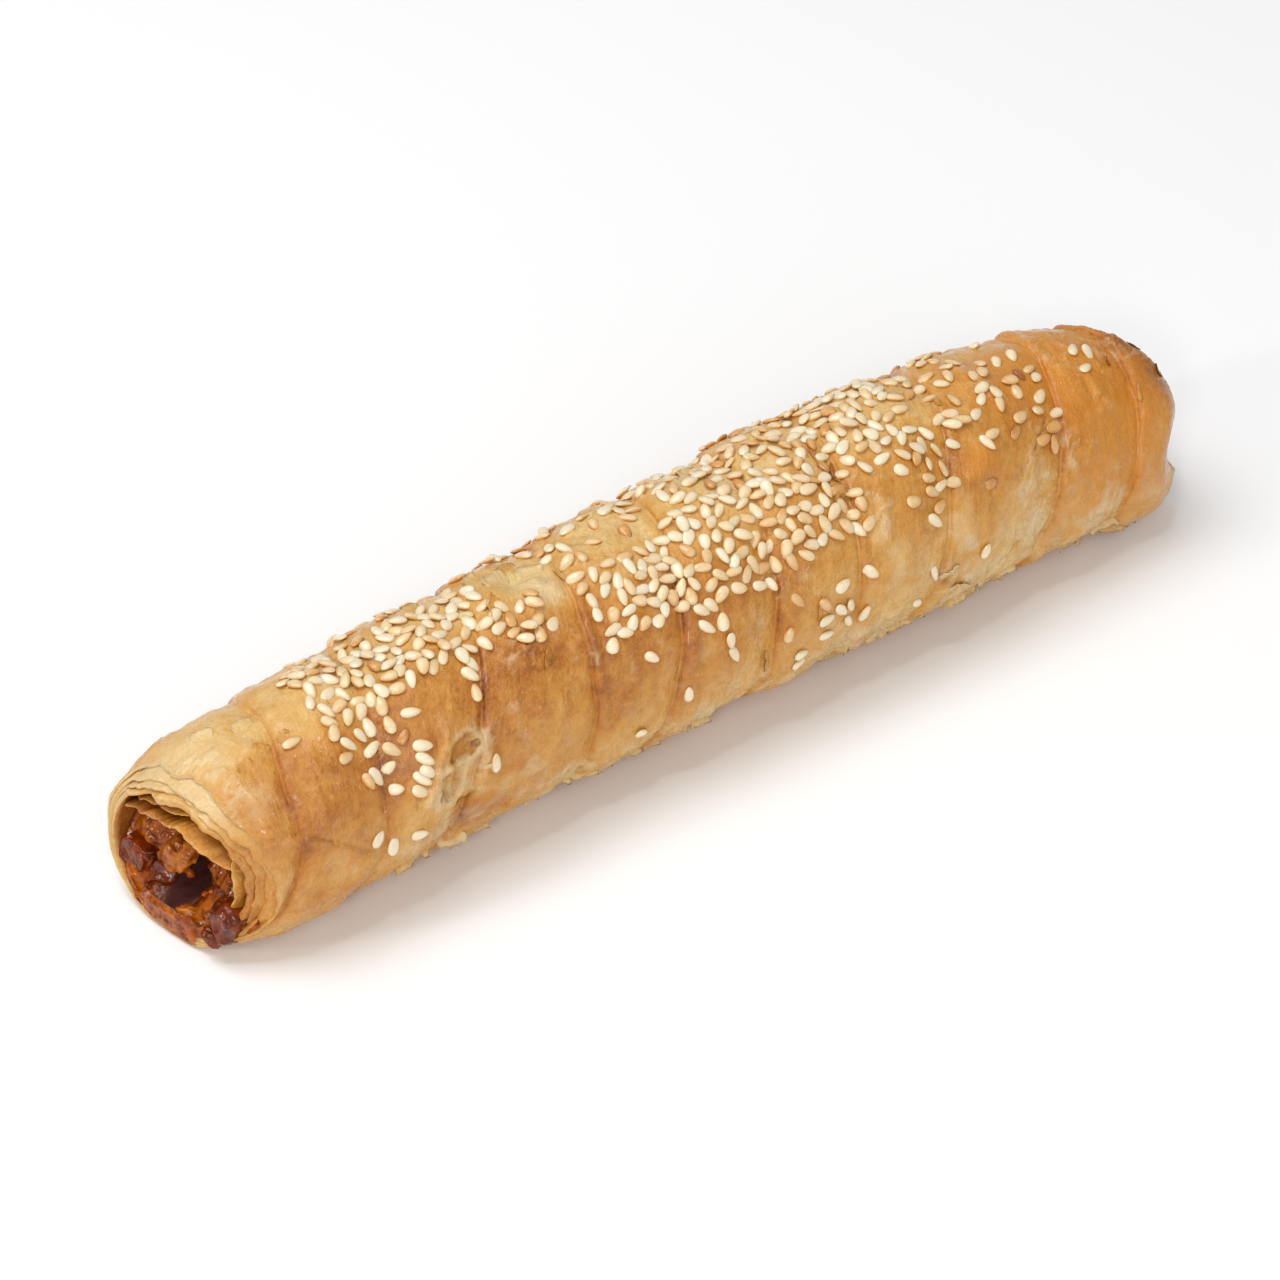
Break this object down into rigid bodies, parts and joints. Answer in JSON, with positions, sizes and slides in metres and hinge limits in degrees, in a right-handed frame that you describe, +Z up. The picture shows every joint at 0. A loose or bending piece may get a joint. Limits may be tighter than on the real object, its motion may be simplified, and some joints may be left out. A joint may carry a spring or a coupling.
{
  "type": "borek roll",
  "caption": "Long baked roll of wound thin pastry round a meat and vegetable filling, open at the ends and strewn with sesame seeds, lying on its flattened underside.",
  "frame": {"origin": "on the surface that the roll lies on, under the middle of the roll's box", "axes": "+X along the roll from the open near end to the browned far end, -Y towards the front, +Z up"},
  "size_m": [0.2014, 0.0426, 0.0394],
  "materials": {
    "pastry": "satin",
    "filling": "gloss"
  },
  "bodies": {
    "root": {"pastry": "pastry", "filling": "filling"}
  },
  "joints": []
}
